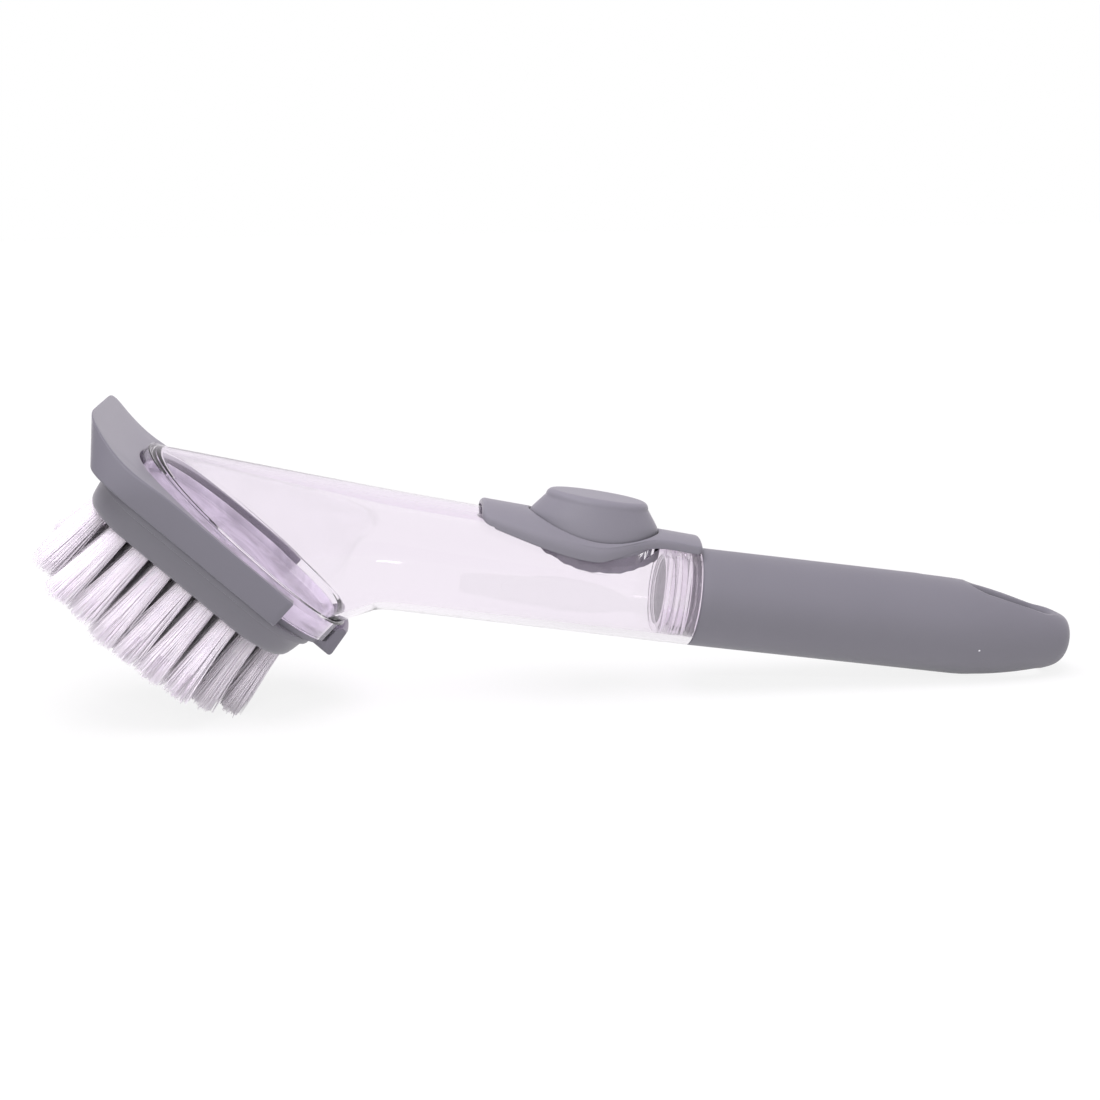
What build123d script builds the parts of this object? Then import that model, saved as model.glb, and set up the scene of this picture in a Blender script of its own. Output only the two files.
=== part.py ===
from build123d import *
import os
from math import asin, atan2, cos, degrees, hypot, radians, sin

os.makedirs("parts", exist_ok=True)

# Dish wand: a clear soap reservoir with a pump button, a grip and a snap-on scrubbing head.
# Lengths are in millimetres and angles in degrees.
# The wand is drawn about its grip: X runs back along the grip from its front edge, Z points to the
# button. The head is drawn about the rim of its band: u runs back and down, v leads up to the soap.
# Both are then laid on the ground, where the wand rests on its rear bristles and its tail.

# Grip
grip_length = 102.7
grip_radius = 12.7
tail_start = 70.0
tail_corner_length = 1.6
tail_corner_height = 7.2
tail_corner_radius = 4.0
facet_start = 74.0
facet_end_height = 6.1
sleeve_thickness = 1.8
overmould_gap = 0.05
hang_slot_length = 22.0
hang_slot_width = 8.5
hang_slot_margin = 6.5
core_bore_length = 62.0

# Clear reservoir, a tapered barrel that runs out into the wedge of the head
barrel_length = 80.0
barrel_rear_radius = 13.2
barrel_front_radius = 15.1
barrel_rear_rise = 0.5
barrel_front_rise = 3.3
barrel_wall = 2.0
joint_gap = 0.3

# Head plane and the clear skirt that stands on it
neck_run = 42.3
head_reach = barrel_length + neck_run
head_drop = 1.0
head_angle = 35.0
skirt_middle = 4.0
skirt_half_length = 32.5
skirt_half_width = 23.2
skirt_front_fullness = 2.2
skirt_rear_fullness = 2.6
outline_steps = 24
wedge_steps = 8
skirt_lift = 2.0
collar_lift = 8.5
collar_slope = 1.5
collar_step = 0.8
weld_gap = 0.05

# Base plate, outlet and valve
base_thickness = 1.6
base_rim_height = 4.0
base_rim_thickness = 1.2
outlet_place = 0.0
outlet_boss_radius = 7.0
outlet_boss_depth = 4.4
outlet_throat_radius = 3.2
valve_radius = 5.0
valve_seat_depth = 1.0
valve_thickness = 1.2
valve_slit_length = 4.4
valve_slit_width = 0.3
retainer_thickness = 1.6

# Rear plug between barrel and grip
plug_length = 9.5
plug_rib_thickness = 1.3
plug_rib_count = 4
plug_rib_height = 2.4
plug_gap = 0.1
spigot_radius = 8.6
spigot_length = 16.0

# Filler cap and its plug
cap_front = 58.0
cap_rear = 0.8
cap_tab_half_width = 8.8
cap_half_width = 12.6
cap_neck_half_width = 6.5
cap_neck_start = 9.4
cap_corner_radius = 3.0
cap_tab_flare_share = 0.25
cap_neck_flare_share = 0.05
cap_gap = 0.2
cap_thickness = 1.6
tab_relief_length = 3.6
tab_relief_height = 0.7
cap_plug_wall = 0.9
cap_plug_gap = 0.3
cap_plug_sole = 0.4

# Pump button
button_place = 28.9
button_half_length = 16.8
button_half_width = 10.0
button_top_half_length = 11.9
button_top_half_width = 7.4
button_base_height = 11.6
button_flare = 3.4
button_height = 22.1
button_edge_radius = 1.8
button_wall = 1.4
button_skirt = 2.0
button_gap = 0.3
button_travel = 3.0
membrane_thickness = 0.8
membrane_gap = 0.3

# Scraper frame
band_half_width = 25.0
band_height = 7.3
band_front = 35.7
band_front_half_width = 20.5
band_shoulder = 24.0
band_bend = 32.0
band_bend_half_width = 23.8
band_corner_share = 1.5
band_arm_end = 21.0
band_fit_gap = 0.25
scraper_reach = 44.0
scraper_half_width = 18.0
scraper_height = 9.6
scraper_shoulder = 17.0
scraper_bend = 33.7
scraper_bend_half_width = 21.9
scraper_fall_share = 0.35
scraper_dip = 6.5
scraper_dip_place = 28.0
scraper_dip_end = 16.0
floor_thickness = 1.4
floor_inset = 1.5
outlet_hole_gap = 0.3

# Release latch
latch_half_width = 8.5
latch_slot_gap = 0.4
latch_root = 14.0
latch_sag = 0.7
latch_heel_gap = 0.4
latch_wall = 1.7
latch_top = 6.8
latch_lip = 0.9
latch_flex_room = 2.6

# Brush block and bristles
block_front = 31.6
block_rear = 31.4
block_half_width = 22.6
block_front_corner = 12.0
block_rear_corner = 17.0
block_depth = 8.0
block_draft = 1.1
lip_overhang = 1.0
lip_thickness = 1.8
outlet_recess_depth = 3.2
soap_channel_radius = 2.0
slice_thickness = 0.8
slice_inset = 2.6
tuft_pitch_long = 6.7
tuft_pitch_wide = 6.0
tuft_columns_each_way = 4
tuft_rows_each_way = 3
field_front = 31.0
field_rear = 28.5
field_half_width = 22.0
field_fullness = 2.4
tuft_radius = 1.1
tuft_tip_radius = 1.8
tuft_strands = 8
strand_radius = 0.42
strand_sides = 3
bristle_length = 22.8
bristle_crown = 3.2
bristle_splay_share = 0.08
staple_length = 2.0
staple_width = 0.4
staple_depth = 2.6
staple_gap = 0.05

# One overrun serves every cut that must pass right through
overrun = 5.0

# Bristle layout: tufts on a grid inside a rounded field, none over the soap channel
def in_field(u, y):
    """Inside |u / reach| ^ n + |y / half width| ^ n = 1, with its own reach in front and behind."""
    reach = field_rear if u > 0 else field_front
    full = abs(u / reach) ** field_fullness + abs(y / field_half_width) ** field_fullness
    return full <= 1 and hypot(u - outlet_place, y) > soap_channel_radius + tuft_radius


tufts = [
    (column * tuft_pitch_long, row * tuft_pitch_wide)
    for column in range(-tuft_columns_each_way, tuft_columns_each_way + 1)
    for row in range(-tuft_rows_each_way, tuft_rows_each_way + 1)
    if in_field(column * tuft_pitch_long, row * tuft_pitch_wide)
]


def strand_ends(u, y, strand):
    """Root and tip of one strand in the head's u, y, v: one stands in the middle, the rest in a ring."""
    turn = radians(360 * strand / (tuft_strands - 1))
    ring = 0 if strand == tuft_strands - 1 else 1
    root_u = u + ring * tuft_radius * cos(turn)
    root_y = y + ring * tuft_radius * sin(turn)
    tip_u = u * (1 + bristle_splay_share) + ring * tuft_tip_radius * cos(turn)
    tip_y = y * (1 + bristle_splay_share) + ring * tuft_tip_radius * sin(turn)
    tip_v = -block_depth - bristle_length + bristle_crown * (u / field_rear) ** 2
    return (root_u, root_y, -block_depth), (tip_u, tip_y, tip_v)


strands = [strand_ends(u, y, strand) for u, y in tufts for strand in range(tuft_strands)]


# Places in the wand's side view
def head_point(u, v):
    """X and Z in the wand's side view of a point u, v of the head."""
    turn = radians(head_angle)
    return (-head_reach + u * cos(turn) + v * sin(turn), -head_drop - u * sin(turn) + v * cos(turn))


def ground_angle(x, z):
    """Slope of the line through a point that touches the tail's underside arc from below."""
    run = tail_start - x
    rise = tail_sweep_radius - grip_radius - z
    return degrees(atan2(rise, run) - asin(tail_sweep_radius / hypot(run, rise)))


tail_sweep = grip_length - tail_corner_length - tail_start
tail_fall = grip_radius - tail_corner_height
tail_sweep_radius = (tail_sweep**2 + tail_fall**2) / (2 * tail_fall)
tail_end_radius = (tail_corner_length**2 + tail_corner_height**2) / (2 * tail_corner_length)

# The wand rests on the strand whose ground line is the steepest, and on the tail's arc
tip_places = [head_point(tip[0] + strand_radius, tip[2]) for root, tip in strands]
rest_angle = max(ground_angle(x, z) for x, z in tip_places)
rest_turn = radians(rest_angle)
ground_height = min(z * cos(rest_turn) - x * sin(rest_turn) for x, z in tip_places)
front_places = [head_point(tip[0] - strand_radius / 2, tip[2]) for root, tip in strands]
front_end = min(x * cos(rest_turn) + z * sin(rest_turn) for x, z in front_places)
rear_end = (grip_length - tail_end_radius) * cos(rest_turn) + tail_end_radius
rest = Location((-(front_end + rear_end) / 2, 0, -ground_height), (0, rest_angle, 0))


# Planes of the wand and of the head
def laid(plane):
    """A plane of the wand's own frame, laid on the ground with the wand."""
    return Plane(rest * plane.location)


def station_plane(x):
    """Cross-section of the wand at X, with Y across and Z up in it."""
    return laid(Plane.YZ.offset(x))


def head_plane(v, slope=0):
    """Plane parallel to the head at v, with u and Y in it, or one that falls off to the rear."""
    x, z = head_point(0, v)
    turn = radians(head_angle + slope)
    return laid(Plane((x, 0, z), (cos(turn), 0, -sin(turn)), (sin(turn), 0, cos(turn))))


side_plane = laid(Plane.XZ)
head_side_turn = radians(head_angle)
head_side_way = (cos(head_side_turn), 0, -sin(head_side_turn))
head_side_plane = laid(Plane((-head_reach, 0, -head_drop), head_side_way, (0, -1, 0)))


# Barrel: its radius and axis height run straight from rear to front
def barrel_radius(x):
    return barrel_rear_radius + (barrel_rear_radius - barrel_front_radius) * x / barrel_length


def barrel_rise(x):
    return barrel_rear_rise + (barrel_rear_rise - barrel_front_rise) * x / barrel_length


barrel_angle = degrees(atan2(barrel_front_rise - barrel_rear_rise, barrel_length))
button_turn = radians(barrel_angle)


def button_plane(height):
    """Plane along the barrel's axis at a height above it, centred under the button."""
    x = -button_place + height * sin(button_turn)
    z = barrel_rise(-button_place) + height * cos(button_turn)
    along = (cos(button_turn), 0, -sin(button_turn))
    up = (sin(button_turn), 0, cos(button_turn))
    return laid(Plane((x, 0, z), along, up))


def barrel(front, rear, growth, drop=0, mode=Mode.ADD):
    """A stretch of the barrel with its skin grown, and lowered where a saddle-shaped cut needs it."""
    with BuildSketch(station_plane(front)) as front_ring:
        with Locations((0, barrel_rise(front) - drop)):
            Circle(barrel_radius(front) + growth)
    with BuildSketch(station_plane(rear)) as rear_ring:
        with Locations((0, barrel_rise(rear) - drop)):
            Circle(barrel_radius(rear) + growth)
    loft(sections=[front_ring.sketch, rear_ring.sketch], ruled=True, mode=mode)


# Outlines of the head
def oval_half_width(place):
    """Half width of the skirt's outline, as a share, at a place from -1 at the heel to 1 at the front."""
    fullness = skirt_front_fullness if place > 0 else skirt_rear_fullness
    return (1 - abs(place) ** fullness) ** (1 / fullness)


def oval_outline(half_length, half_width, roundness=0):
    """Closed curve from a full oval to a true ellipse, as its roundness runs from 0 to 1."""
    points = []
    for step in range(outline_steps):
        turn = radians(360 * step / outline_steps)
        place = sin(turn)
        width = roundness * abs(cos(turn)) + (1 - roundness) * oval_half_width(place)
        side = 1 if cos(turn) >= 0 else -1
        points.append((side * half_width * width, half_length * place))
    with BuildLine() as outline:
        Spline(points, periodic=True)
    make_face(outline.edges())


def skirt_outline(growth):
    """Outline of the clear skirt, grown or drawn in."""
    oval_outline(skirt_half_length + growth, skirt_half_width + growth)


def head_face_plane(v, slope=0):
    """Plane of the head at v with Y as its first axis and the way to the front as its second."""
    x, z = head_point(skirt_middle, v)
    turn = radians(head_angle + slope)
    return laid(Plane((x, 0, z), (0, 1, 0), (sin(turn), 0, cos(turn))))


def skirt(bottom, growth, mode=Mode.ADD):
    """Upright wall of the head from v up to the collar."""
    with BuildSketch(head_face_plane(bottom)) as foot:
        skirt_outline(growth)
    with BuildSketch(head_face_plane(collar_lift, collar_slope)) as collar:
        skirt_outline(growth)
    loft(sections=[foot.sketch, collar.sketch], ruled=True, mode=mode)


def wedge(growth, mode=Mode.ADD):
    """Head above the collar: straight lines lead from the barrel's round neck to the oval collar."""
    collar_x, collar_z = head_point(skirt_middle, collar_lift)
    turn = radians(head_angle + collar_slope)
    collar_half_length = skirt_half_length - collar_step + growth
    collar_half_width = skirt_half_width - collar_step + growth
    neck_radius = barrel_front_radius + growth
    sections = []
    for step in range(wedge_steps + 1):
        share = step / wedge_steps
        x = -barrel_length + share * (collar_x + barrel_length)
        z = barrel_front_rise + share * (collar_z - barrel_front_rise)
        along_x = -share * collar_half_length * cos(turn)
        along_z = (1 - share) * neck_radius + share * collar_half_length * sin(turn)
        half_length = hypot(along_x, along_z)
        half_width = neck_radius + share * (collar_half_width - neck_radius)
        plane = laid(Plane((x, 0, z), (0, 1, 0), (along_z / half_length, 0, -along_x / half_length)))
        with BuildSketch(plane) as section:
            if step == 0:
                Circle(neck_radius)
            else:
                oval_outline(half_length, half_width, neck_radius * (1 - share) / half_width)
        sections.append(section.sketch)
    loft(sections=sections, ruled=True, mode=mode)


# Filler cap: plan outline, plug and saddle-shaped levels below the cap's crown
cap_growth = cap_gap + cap_thickness
plug_outer_growth = button_gap + cap_plug_wall
port_growth = plug_outer_growth + cap_plug_gap
membrane_drop = button_skirt + button_travel + membrane_gap
sole_drop = membrane_drop + membrane_thickness + cap_plug_sole


def button_ellipse(growth):
    Ellipse(button_half_length + growth, button_half_width + growth)


# Room for the soap, as one solid that is cut from the clear moulding
with BuildPart() as soap_room:
    barrel(-barrel_length, overrun, -barrel_wall)
    wedge(-barrel_wall)
    skirt(skirt_lift - overrun, -barrel_wall)

# Clear reservoir: barrel and head in one moulding, with the filler port on top
with BuildPart() as reservoir_body:
    barrel(-barrel_length, -joint_gap, 0)
    wedge(0)
    skirt(skirt_lift, 0)
    add(soap_room.part, mode=Mode.SUBTRACT)
    with BuildSketch(button_plane(0)):
        button_ellipse(port_growth)
    extrude(amount=barrel_front_radius + overrun, mode=Mode.SUBTRACT)
reservoir_body.part.label = "reservoir_body"
export_step(reservoir_body.part, "parts/reservoir_body.step")

# Base plate welded into the skirt's foot, with an upright rim and the boss that reaches into the block
boss_foot = skirt_lift - outlet_boss_depth
valve_seat = skirt_lift - valve_seat_depth
with BuildPart() as reservoir_base:
    with BuildSketch(head_face_plane(skirt_lift)):
        skirt_outline(-barrel_wall - weld_gap)
    extrude(amount=base_rim_height)
    with BuildSketch(head_face_plane(skirt_lift + base_thickness)):
        skirt_outline(-barrel_wall - weld_gap - base_rim_thickness)
    extrude(amount=base_rim_height, mode=Mode.SUBTRACT)
    with BuildSketch(head_plane(boss_foot)):
        with Locations((outlet_place, 0)):
            Circle(outlet_boss_radius)
    extrude(amount=outlet_boss_depth)
    with BuildSketch(head_plane(boss_foot)):
        with Locations((outlet_place, 0)):
            Circle(outlet_throat_radius)
    extrude(amount=outlet_boss_depth + base_thickness, mode=Mode.SUBTRACT)
    with BuildSketch(head_plane(boss_foot)):
        with Locations((outlet_place, 0)):
            Circle(valve_radius)
    extrude(amount=valve_seat - boss_foot, mode=Mode.SUBTRACT)
reservoir_base.part.label = "reservoir_base"
export_step(reservoir_base.part, "parts/reservoir_base.step")

# Rubber valve disc with its cross slit, held up against the seat
valve_foot = valve_seat - valve_thickness
with BuildPart() as outlet_valve:
    with BuildSketch(head_plane(valve_foot)):
        with Locations((outlet_place, 0)):
            Circle(valve_radius - weld_gap)
            Rectangle(valve_slit_length, valve_slit_width, mode=Mode.SUBTRACT)
            Rectangle(valve_slit_width, valve_slit_length, mode=Mode.SUBTRACT)
    extrude(amount=valve_thickness)
outlet_valve.part.label = "outlet_valve"
export_step(outlet_valve.part, "parts/outlet_valve.step")

# Ring pressed in below the valve
with BuildPart() as valve_retainer:
    with BuildSketch(head_plane(valve_foot - retainer_thickness)):
        with Locations((outlet_place, 0)):
            Circle(valve_radius - weld_gap)
            Circle(outlet_throat_radius, mode=Mode.SUBTRACT)
    extrude(amount=retainer_thickness)
valve_retainer.part.label = "valve_retainer"
export_step(valve_retainer.part, "parts/valve_retainer.step")

# Ribbed clear plug that closes the barrel and carries the grip on its spigot
rib_pitch = (plug_length - plug_rib_thickness) / (plug_rib_count - 1)
with BuildPart() as rear_plug:
    barrel(-plug_length, 0, -barrel_wall - plug_rib_height)
    for rib in range(plug_rib_count):
        rib_front = -plug_length + rib * rib_pitch
        barrel(rib_front, rib_front + plug_rib_thickness, -barrel_wall - plug_gap)
    with BuildSketch(station_plane(0)):
        Circle(spigot_radius)
    extrude(amount=spigot_length)
rear_plug.part.label = "rear_plug"
export_step(rear_plug.part, "parts/rear_plug.step")

# Square rubber ring in the middle groove of the plug
groove_front = -plug_length + plug_rib_thickness + rib_pitch
groove_rear = groove_front + rib_pitch - plug_rib_thickness
with BuildPart() as plug_seal:
    barrel(groove_front + plug_gap, groove_rear - plug_gap, -barrel_wall - weld_gap)
    barrel(groove_front, groove_rear, -barrel_wall - plug_rib_height, mode=Mode.SUBTRACT)
plug_seal.part.label = "plug_seal"
export_step(plug_seal.part, "parts/plug_seal.step")


# Grip
slot_place = grip_length - hang_slot_margin - hang_slot_length / 2


def grip_form(start, inset, mode=Mode.ADD):
    """Turned bar with a swept tail and a sloping flat on top, all drawn in by an inset."""
    radius = grip_radius - inset
    corner = (grip_length - tail_corner_length - inset, tail_corner_height - inset)
    with BuildSketch(side_plane) as outline:
        with BuildLine() as path:
            Polyline((grip_length - inset, 0), (start, 0), (start, radius), (tail_start, radius))
            TangentArc((tail_start, radius), corner, tangent=(1, 0))
            TangentArc((grip_length - inset, 0), corner, tangent=(0, 1))
        make_face(path.edges())
        fillet(outline.vertices().sort_by_distance(corner)[0], tail_corner_radius - inset)
    revolve(outline.sketch, axis=Axis(side_plane.origin, side_plane.x_dir), mode=mode)


def facet(inset):
    """Flat that slopes down over the tail's top."""
    fall = grip_radius - facet_end_height
    run = grip_length - facet_start
    end_height = facet_end_height - inset - fall * overrun / run
    with BuildSketch(side_plane) as cut:
        with BuildLine() as path:
            Polyline(
                (facet_start, grip_radius - inset),
                (grip_length + overrun, end_height),
                (grip_length + overrun, grip_radius + overrun),
                (facet_start, grip_radius + overrun),
                close=True,
            )
        make_face(path.edges())
    extrude(cut.sketch, amount=grip_radius + overrun, both=True, mode=Mode.SUBTRACT)


def hang_slot(growth):
    """Slot that runs through the tail from top to bottom."""
    with BuildSketch(laid(Plane.XY)) as slot:
        with Locations((slot_place, 0)):
            SlotOverall(hang_slot_length + 2 * growth, hang_slot_width + 2 * growth)
    extrude(slot.sketch, amount=grip_radius + overrun, both=True, mode=Mode.SUBTRACT)


# Stiff core, bored for the plug's spigot
with BuildPart() as grip_core:
    grip_form(0, sleeve_thickness + overmould_gap)
    facet(sleeve_thickness + overmould_gap)
    hang_slot(sleeve_thickness + overmould_gap)
    with BuildSketch(station_plane(0)):
        Circle(spigot_radius + plug_gap)
    extrude(amount=core_bore_length, mode=Mode.SUBTRACT)
grip_core.part.label = "grip_core"
export_step(grip_core.part, "parts/grip_core.step")

# Soft sleeve moulded over the core and through its slot
with BuildPart() as core_room:
    grip_form(-overrun, sleeve_thickness)
    facet(sleeve_thickness)
    hang_slot(sleeve_thickness)
with BuildPart() as grip_sleeve:
    grip_form(0, 0)
    facet(0)
    add(core_room.part, mode=Mode.SUBTRACT)
    hang_slot(0)
grip_sleeve.part.label = "grip_sleeve"
export_step(grip_sleeve.part, "parts/grip_sleeve.step")


# Filler cap: a soft saddle with a pull tab, and a plug that follows the barrel's inside
cap_start = button_place - cap_front
cap_end = button_place - cap_rear
cap_neck = button_place - cap_neck_start
button_reach = button_half_length + port_growth + overrun
button_top = barrel_front_radius + button_height


def cap_outline():
    """Plan of the saddle: blunt tab in front, widest beside the button, narrow neck behind."""
    with BuildLine() as path:
        Line((cap_start, -cap_tab_half_width), (cap_start, cap_tab_half_width))
        Spline(
            (cap_start, cap_tab_half_width),
            (0, cap_half_width),
            (cap_neck, cap_neck_half_width),
            tangents=[(1, cap_tab_flare_share), (1, -cap_neck_flare_share)],
        )
        Line((cap_neck, cap_neck_half_width), (cap_end, cap_neck_half_width))
        Line((cap_end, cap_neck_half_width), (cap_end, -cap_neck_half_width))
        Line((cap_end, -cap_neck_half_width), (cap_neck, -cap_neck_half_width))
        Spline(
            (cap_neck, -cap_neck_half_width),
            (0, -cap_half_width),
            (cap_start, -cap_tab_half_width),
            tangents=[(-1, -cap_neck_flare_share), (-1, cap_tab_flare_share)],
        )
    make_face(path.edges())


with BuildPart() as cap_keep_out:
    barrel(-cap_front - overrun, overrun, cap_gap)
    with BuildSketch(button_plane(0)):
        button_ellipse(plug_outer_growth)
    extrude(amount=button_top, mode=Mode.SUBTRACT)
with BuildPart() as filler_cap:
    barrel(-cap_front - overrun, overrun, cap_growth)
    with BuildSketch(button_plane(0)) as plan:
        cap_outline()
        fillet(plan.vertices().group_by(Axis.X)[0], cap_corner_radius)
    extrude(amount=button_top, mode=Mode.INTERSECT)
    add(cap_keep_out.part, mode=Mode.SUBTRACT)
    with BuildSketch(button_plane(0)):
        button_ellipse(button_gap)
    extrude(amount=button_top, mode=Mode.SUBTRACT)
    barrel(-cap_front - overrun, overrun, cap_growth, drop=sole_drop, mode=Mode.SUBTRACT)
    tab_notch_growth = cap_gap + tab_relief_height
    barrel(-cap_front - overrun, tab_relief_length - cap_front, tab_notch_growth, mode=Mode.SUBTRACT)
filler_cap.part.label = "filler_cap"
export_step(filler_cap.part, "parts/filler_cap.step")

# Flexible web that closes the plug below the button
web_front = -button_place - button_reach
web_rear = -button_place + button_reach
with BuildPart() as button_membrane:
    barrel(web_front, web_rear, cap_growth, drop=membrane_drop)
    with BuildSketch(button_plane(0)):
        button_ellipse(button_gap - weld_gap)
    extrude(amount=button_top, mode=Mode.INTERSECT)
    barrel(web_front, web_rear, cap_growth, drop=membrane_drop + membrane_thickness, mode=Mode.SUBTRACT)
button_membrane.part.label = "button_membrane"
export_step(button_membrane.part, "parts/button_membrane.step")


def button_form(inset):
    """Button without its saddle-shaped foot: a flared dome trimmed to the well's ellipse."""
    with BuildSketch(button_plane(button_base_height)) as shoulder:
        Ellipse(button_half_length + button_flare - inset, button_half_width - inset)
    with BuildSketch(button_plane(button_height - inset)) as crown:
        Ellipse(button_top_half_length - inset, button_top_half_width - inset)
    loft(sections=[shoulder.sketch, crown.sketch], ruled=True)
    extrude(shoulder.sketch, amount=-button_base_height)
    with BuildSketch(button_plane(0)) as well:
        button_ellipse(-inset)
    extrude(well.sketch, amount=button_top, mode=Mode.INTERSECT)


# Pump button: a hard shell with an open, saddle-shaped foot
with BuildPart() as button_hollow:
    button_form(button_wall)
with BuildPart() as pump_button:
    button_form(0)
    barrel(web_front, web_rear, cap_growth, drop=button_skirt, mode=Mode.SUBTRACT)
    fillet(pump_button.faces().sort_by(Axis.Z)[-1].edges(), button_edge_radius)
    add(button_hollow.part, mode=Mode.SUBTRACT)
pump_button.part.label = "pump_button"
export_step(pump_button.part, "parts/pump_button.step")


# Scraper frame
def band_outline(front, front_half_width, bend, bend_half_width, shoulder):
    """Band from above: straight scraper edge, rounded shoulders, straight arms cut off square."""
    with BuildLine() as path:
        Line((-front, -front_half_width), (-front, front_half_width))
        Spline(
            (-front, front_half_width),
            (-bend, bend_half_width),
            (-shoulder, band_half_width),
            tangents=[(1, band_corner_share), (1, 0)],
        )
        Line((-shoulder, band_half_width), (band_arm_end, band_half_width))
        Line((band_arm_end, band_half_width), (band_arm_end, -band_half_width))
        Line((band_arm_end, -band_half_width), (-shoulder, -band_half_width))
        Spline(
            (-shoulder, -band_half_width),
            (-bend, -bend_half_width),
            (-front, -front_half_width),
            tangents=[(-1, 0), (-1, band_corner_share)],
        )
    make_face(path.edges())


with BuildPart() as scraper_frame:
    with BuildSketch(head_plane(0)):
        band_outline(
            band_front, band_front_half_width, band_bend, band_bend_half_width, band_shoulder
        )
    with BuildSketch(head_plane(scraper_height)):
        band_outline(
            scraper_reach, scraper_half_width, scraper_bend, scraper_bend_half_width, scraper_shoulder
        )
    loft(ruled=True)
    with BuildSketch(head_side_plane):
        with BuildLine() as path:
            Spline(
                (-scraper_reach, scraper_height),
                (-scraper_dip_place, scraper_dip),
                (-scraper_dip_end, band_height),
                tangents=[(1, -scraper_fall_share), (1, 0)],
            )
            Polyline(
                (-scraper_dip_end, band_height),
                (band_arm_end + overrun, band_height),
                (band_arm_end + overrun, scraper_height + overrun),
                (-scraper_reach, scraper_height + overrun),
                (-scraper_reach, scraper_height),
            )
        make_face(path.edges())
    extrude(amount=band_half_width + overrun, both=True, mode=Mode.SUBTRACT)
    with BuildSketch(head_face_plane(0)):
        skirt_outline(-floor_inset)
    extrude(amount=floor_thickness)
    with BuildSketch(head_face_plane(floor_thickness)):
        skirt_outline(band_fit_gap)
    extrude(amount=scraper_height + overrun, mode=Mode.SUBTRACT)
    with BuildSketch(head_plane(0)):
        with Locations((outlet_place, 0)):
            Circle(outlet_boss_radius + outlet_hole_gap)
        with Locations((latch_root, 0)):
            Rectangle(
                skirt_half_length,
                2 * (latch_half_width + latch_slot_gap),
                align=(Align.MIN, Align.CENTER),
            )
    extrude(amount=floor_thickness, mode=Mode.SUBTRACT)
scraper_frame.part.label = "scraper_frame"
export_step(scraper_frame.part, "parts/scraper_frame.step")

# Release latch: a tongue in the frame's floor with a finger wall behind the heel
with BuildPart() as latch_tongue:
    with BuildSketch(head_face_plane(-latch_sag)):
        skirt_outline(latch_heel_gap + latch_wall + latch_lip)
    with BuildSketch(head_face_plane(latch_top)):
        skirt_outline(latch_heel_gap + latch_wall)
    loft(ruled=True)
    with BuildSketch(head_face_plane(floor_thickness)):
        skirt_outline(latch_heel_gap)
    extrude(amount=latch_top + overrun, mode=Mode.SUBTRACT)
    with BuildSketch(head_plane(-latch_sag - overrun)):
        with Locations((latch_root + weld_gap, 0)):
            Rectangle(skirt_half_length, 2 * latch_half_width, align=(Align.MIN, Align.CENTER))
    extrude(amount=latch_top + latch_sag + 2 * overrun, mode=Mode.INTERSECT)
latch_tongue.part.label = "latch_tongue"
export_step(latch_tongue.part, "parts/latch_tongue.step")


# Brush block
def block_outline(growth):
    """Rounded block from above, with wider corners behind than in front."""
    with Locations(((block_rear - block_front) / 2, 0)):
        block = Rectangle(block_front + block_rear + 2 * growth, 2 * (block_half_width + growth))
    fillet(block.vertices().group_by(Axis.X)[0], block_front_corner + growth)


def staple_sketch(growth):
    """Flat wire anchors, one at the root of each tuft."""
    with Locations(tufts):
        Rectangle(staple_width + 2 * growth, staple_length + 2 * growth)


slice_top = slice_thickness - block_depth
with BuildPart() as brush_block:
    with BuildSketch(head_plane(0)) as top:
        block_outline(0)
        fillet(top.vertices().group_by(Axis.X)[-1], block_rear_corner)
    with BuildSketch(head_plane(-block_depth)) as bottom:
        block_outline(-block_draft)
        fillet(bottom.vertices().group_by(Axis.X)[-1], block_rear_corner - block_draft)
    loft(ruled=True)
    with BuildSketch(head_plane(-lip_thickness)) as lip_plan:
        block_outline(lip_overhang)
        fillet(lip_plan.vertices().group_by(Axis.X)[-1], block_rear_corner + lip_overhang)
    extrude(amount=lip_thickness)
    with BuildSketch(head_plane(-outlet_recess_depth)):
        with Locations((outlet_place, 0)):
            Circle(outlet_boss_radius + outlet_hole_gap)
    extrude(amount=outlet_recess_depth, mode=Mode.SUBTRACT)
    with BuildSketch(head_plane(-block_depth)):
        with Locations((outlet_place, 0)):
            Circle(soap_channel_radius)
    extrude(amount=block_depth, mode=Mode.SUBTRACT)
    with BuildSketch(head_plane(-latch_sag - latch_flex_room)):
        with Locations((latch_root - latch_slot_gap, 0)):
            Rectangle(
                skirt_half_length,
                2 * (latch_half_width + latch_slot_gap),
                align=(Align.MIN, Align.CENTER),
            )
    extrude(amount=latch_sag + latch_flex_room, mode=Mode.SUBTRACT)
    with BuildSketch(head_plane(-block_depth)) as slice_plan:
        block_outline(-slice_inset)
        fillet(slice_plan.vertices().group_by(Axis.X)[-1], block_rear_corner - slice_inset)
    extrude(amount=slice_thickness, mode=Mode.SUBTRACT)
    with BuildSketch(head_plane(slice_top)):
        staple_sketch(staple_gap)
    extrude(amount=staple_depth + staple_gap, mode=Mode.SUBTRACT)
brush_block.part.label = "brush_block"
export_step(brush_block.part, "parts/brush_block.step")

# Metal anchors that hold the tufts in the block
with BuildPart() as tuft_staples:
    with BuildSketch(head_plane(slice_top)):
        staple_sketch(0)
    extrude(amount=staple_depth)
tuft_staples.part.label = "tuft_staples"
export_step(tuft_staples.part, "parts/tuft_staples.step")


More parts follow.
